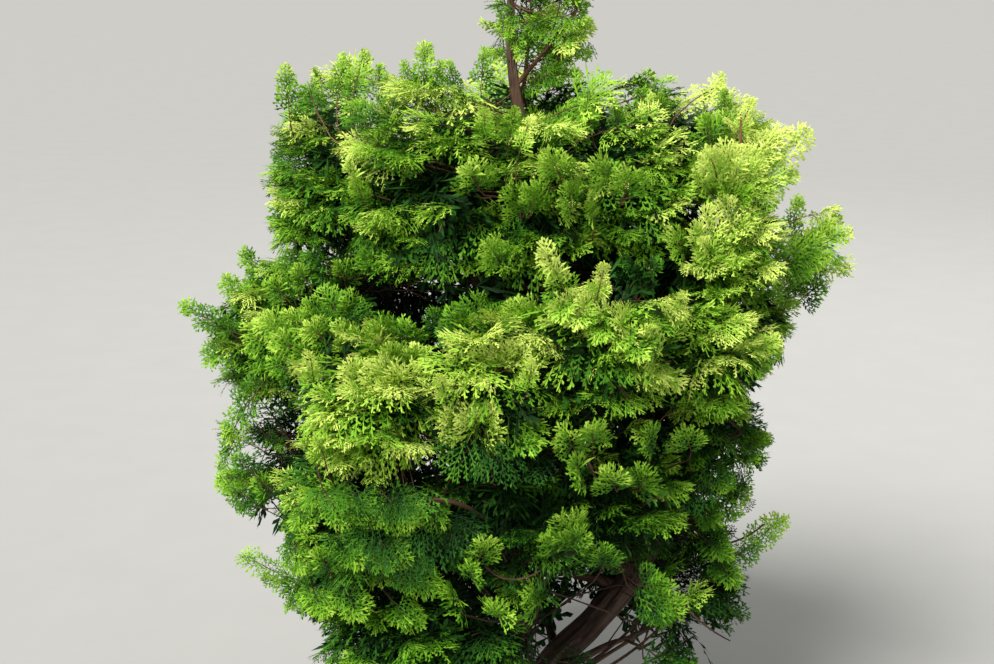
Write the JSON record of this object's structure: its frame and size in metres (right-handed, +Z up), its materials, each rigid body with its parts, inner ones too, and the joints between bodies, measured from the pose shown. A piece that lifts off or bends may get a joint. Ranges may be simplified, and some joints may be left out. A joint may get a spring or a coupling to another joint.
{
  "type": "dwarf hinoki cypress",
  "caption": "Small irregular garden conifer with a crooked trunk, rising boughs and tiers of shell-like pads of flat scale foliage.",
  "frame": {"origin": "middle of the flat cut under the trunk, at ground level", "axes": "+Z up along the plant, -Y towards the side that the picture shows, +X to the viewer's right"},
  "size_m": [0.522, 0.474, 0.6999],
  "materials": {
    "trunk_bark": "fibrous reddish-brown bark, peeling in strips",
    "bough_bark": "thin reddish-brown bark",
    "skirt_foliage": "scale foliage in flat fans, deep green inside and yellow-green at the tips",
    "lower_foliage": "scale foliage in flat fans, deep green inside and yellow-green at the tips",
    "middle_foliage": "scale foliage in flat fans, deep green inside and yellow-green at the tips",
    "upper_foliage": "scale foliage in flat fans, deep green inside and yellow-green at the tips",
    "crown_foliage": "scale foliage in flat fans, deep green inside and yellow-green at the tips",
    "leader_foliage": "scale foliage in flat fans, deep green inside and yellow-green at the tips"
  },
  "bodies": {
    "root": {"trunk": "trunk_bark", "skirt_bough_front_left": "bough_bark", "skirt_bough_front": "bough_bark", "skirt_bough_front_right": "bough_bark", "skirt_bough_back_right": "bough_bark", "skirt_bough_back": "bough_bark", "skirt_bough_back_left": "bough_bark", "skirt_bough_left": "bough_bark", "lower_bough_front_left": "bough_bark", "lower_bough_front": "bough_bark", "lower_bough_back": "bough_bark", "lower_bough_back_left": "bough_bark", "lower_bough_left": "bough_bark", "middle_bough_front_left": "bough_bark", "middle_bough_front": "bough_bark", "middle_bough_front_arch": "bough_bark", "middle_bough_back_right": "bough_bark", "middle_bough_back": "bough_bark", "middle_bough_back_left": "bough_bark", "middle_bough_left": "bough_bark", "upper_bough_left": "bough_bark", "upper_bough_arm": "bough_bark", "skirt_foliage_front_left": "skirt_foliage", "skirt_foliage_front": "skirt_foliage", "skirt_foliage_front_right": "skirt_foliage", "skirt_foliage_right": "skirt_foliage", "skirt_foliage_back_right": "skirt_foliage", "skirt_foliage_back": "skirt_foliage", "skirt_foliage_back_left": "skirt_foliage", "skirt_foliage_left": "skirt_foliage", "lower_foliage_front_left": "lower_foliage", "lower_foliage_front": "lower_foliage", "lower_foliage_front_right": "lower_foliage", "lower_foliage_right": "lower_foliage", "lower_foliage_back_right": "lower_foliage", "lower_foliage_back": "lower_foliage", "lower_foliage_back_left": "lower_foliage", "lower_foliage_left": "lower_foliage", "middle_foliage_front_left": "middle_foliage", "middle_foliage_front": "middle_foliage", "middle_foliage_front_arch": "middle_foliage", "middle_foliage_front_right": "middle_foliage", "middle_foliage_right": "middle_foliage", "middle_foliage_back_right": "middle_foliage", "middle_foliage_back": "middle_foliage", "middle_foliage_back_left": "middle_foliage", "middle_foliage_left": "middle_foliage", "upper_foliage_left": "upper_foliage", "upper_foliage_front_right": "upper_foliage", "upper_foliage_arm": "upper_foliage", "upper_foliage_right": "upper_foliage", "upper_foliage_back_right": "upper_foliage", "upper_foliage_back": "upper_foliage", "crown_foliage_front_left": "crown_foliage", "crown_foliage_front": "crown_foliage", "crown_foliage_front_right": "crown_foliage", "crown_foliage_back": "crown_foliage", "leader_foliage_right": "leader_foliage", "leader_foliage_back": "leader_foliage", "leader_foliage_top": "leader_foliage"}
  },
  "joints": []
}
